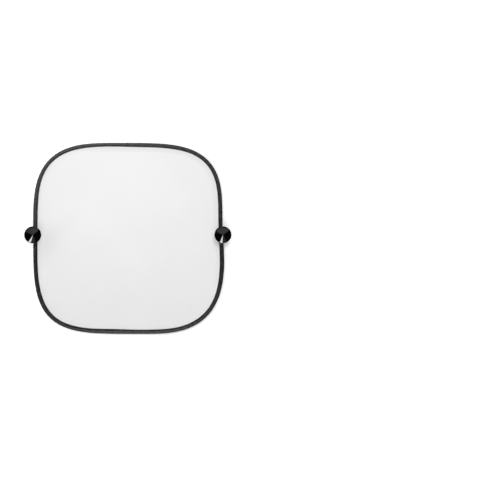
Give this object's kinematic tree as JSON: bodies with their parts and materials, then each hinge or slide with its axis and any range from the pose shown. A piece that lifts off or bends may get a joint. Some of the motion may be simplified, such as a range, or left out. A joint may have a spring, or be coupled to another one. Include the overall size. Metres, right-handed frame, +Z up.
{
  "type": "car window sunshade",
  "caption": "Flat sprung sunshade for a car side window: pale cloth in a taped wire hoop, with suction cups snapped onto its edge.",
  "frame": {"origin": "on the floor, midway between the two cups and midway between the top and bottom edges, with the shade lying flat and its cups facing up", "axes": "+X to the right cup, +Y to the top edge, +Z up out of the cups' hollow faces"},
  "size_m": [0.4134, 0.382, 0.0156],
  "materials": {
    "cloth": "plain-woven polyester taffeta, matt with a faint sheen",
    "tape": "ribbed woven tape, matt",
    "spring_steel": "drawn spring wire",
    "ferrule_steel": "plain crimped tube",
    "cup_vinyl": "moulded soft vinyl, high gloss"
  },
  "bodies": {
    "shade": {"shade_cloth": "cloth", "edge_binding": "tape", "spring_hoop": "spring_steel", "hoop_ferrule": "ferrule_steel"},
    "cup_left": {"suction_cup_left": "cup_vinyl"},
    "cup_right": {"suction_cup_right": "cup_vinyl"}
  },
  "joints": [
    {"name": "cup_left_rock", "type": "hinge", "parent": "shade", "child": "cup_left", "pos_m": [-0.18763, 0.007, 0.00365], "axis": [-0.0001, 1, 0], "range_deg": [-6, 6]},
    {"name": "cup_right_rock", "type": "hinge", "parent": "shade", "child": "cup_right", "pos_m": [0.18763, 0.00711, 0.00365], "axis": [0.0525, -0.9986, 0], "range_deg": [-6, 6]}
  ]
}
